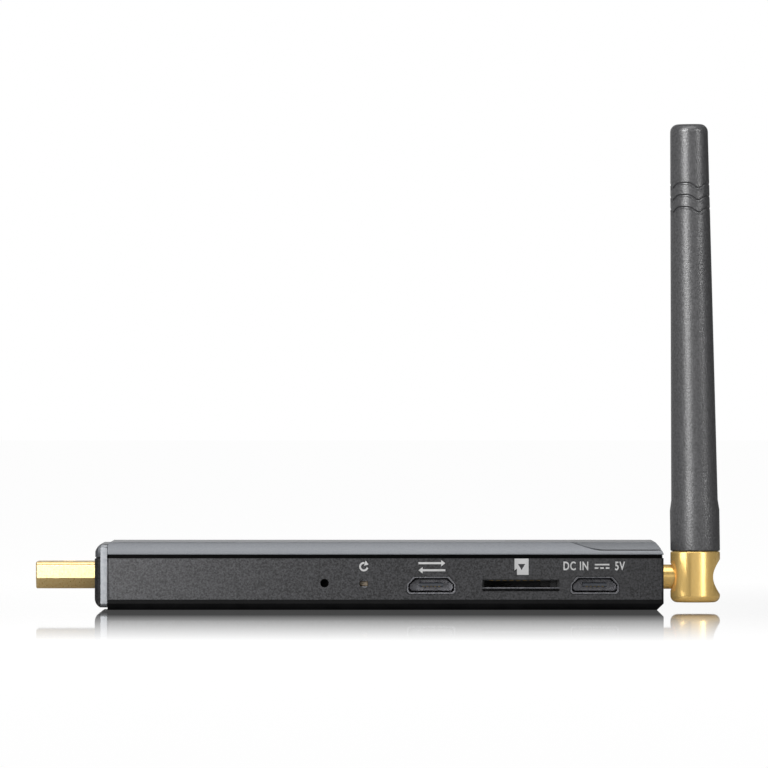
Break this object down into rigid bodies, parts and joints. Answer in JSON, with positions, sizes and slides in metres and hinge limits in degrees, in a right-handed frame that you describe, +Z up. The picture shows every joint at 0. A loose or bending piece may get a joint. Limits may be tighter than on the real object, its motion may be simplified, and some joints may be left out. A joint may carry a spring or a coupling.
{
  "type": "streaming media player",
  "caption": "Flat streaming media player stick with an HDMI plug at one end, sockets along one side and a swivelling whip antenna at the other end.",
  "frame": {"origin": "centre of the casing's underside", "axes": "+X from the HDMI plug towards the antenna, +Z up out of the top cover, -Y out of the side that holds the sockets"},
  "size_m": [0.1129, 0.034, 0.08],
  "materials": {
    "bottom_black": "smooth satin black plastic, moulded",
    "case_textured": "dark grey painted plastic with a fine speckled texture",
    "cover_grey": "smooth gunmetal grey satin paint",
    "window_grey": "smooth darker grey plastic, satin",
    "screw_steel": "plain steel",
    "trim_silver": "polished silver trim",
    "gold_plate": "bright gold plating",
    "black_insulator": "black glass-filled plastic",
    "board_green": "green solder mask over glass laminate",
    "chip_black": "black chip resin",
    "ferrite_grey": "pressed ferrite",
    "shield_tin": "tinned sheet",
    "capacitor_tan": "ceramic",
    "pad_grey": "soft thermal pad",
    "spreader_aluminium": "plain rolled sheet",
    "socket_steel": "nickel-plated formed sheet",
    "boot_rubber": "soft black rubber",
    "cable_black": "thin coaxial cable jacket",
    "brass_polished": "turned and polished, gold coloured",
    "antenna_rubber": "fine-grained dark grey moulded sleeve",
    "plunger_tan": "tan moulded plastic"
  },
  "bodies": {
    "casing": {"bottom_cover": "bottom_black", "side_frame": "case_textured", "top_cover": "cover_grey", "antenna_window": "window_grey", "case_screws": "screw_steel", "trim_ring": "trim_silver", "nose_lower": "case_textured", "nose_upper": "cover_grey", "hdmi_shell": "gold_plate", "hdmi_insulator": "black_insulator", "hdmi_contacts": "gold_plate", "circuit_board": "board_green", "processor": "chip_black", "memory_chips": "chip_black", "flash_chip": "chip_black", "power_chip": "chip_black", "power_inductors": "ferrite_grey", "clock_crystals": "shield_tin", "capacitors": "capacitor_tan", "radio_module": "board_green", "radio_shield": "shield_tin", "thermal_pad": "pad_grey", "heat_spreader": "spreader_aluminium", "usb_data_shell": "socket_steel", "usb_data_tongue": "black_insulator", "usb_data_contacts": "gold_plate", "usb_power_shell": "socket_steel", "usb_power_tongue": "black_insulator", "usb_power_contacts": "gold_plate", "card_socket_base": "black_insulator", "card_contacts": "gold_plate", "card_socket_cover": "socket_steel", "card_spring": "screw_steel", "reset_switch": "socket_steel", "microphone_boot": "boot_rubber", "microphone": "shield_tin", "antenna_connector": "gold_plate", "antenna_lead": "cable_black", "pivot_bush": "brass_polished", "pivot_pin": "brass_polished", "friction_washer": "screw_steel", "pin_retainer": "screw_steel"},
    "antenna": {"knuckle": "brass_polished", "knuckle_plug": "brass_polished", "antenna_sleeve": "antenna_rubber", "antenna_tail": "cable_black", "radiator_tube": "brass_polished", "radiator_rod": "brass_polished"},
    "reset_button": {"reset_plunger": "plunger_tan"},
    "card_carriage": {"card_slider": "black_insulator"}
  },
  "joints": [
    {"name": "antenna_swivel", "type": "hinge", "parent": "casing", "child": "antenna", "pos_m": [0.0522, 0, 0.0052], "axis": [1, 0, 0], "range_deg": [-90, 90]},
    {"name": "reset_press", "type": "slide", "parent": "casing", "child": "reset_button", "axis": [0, 1, 0], "range_m": [0, 0.00025], "stiffness_N_per_m": 400},
    {"name": "card_push", "type": "slide", "parent": "casing", "child": "card_carriage", "axis": [0, 1, 0], "range_m": [0, 0.0013], "stiffness_N_per_m": 300, "deforming": ["card_spring"]}
  ]
}
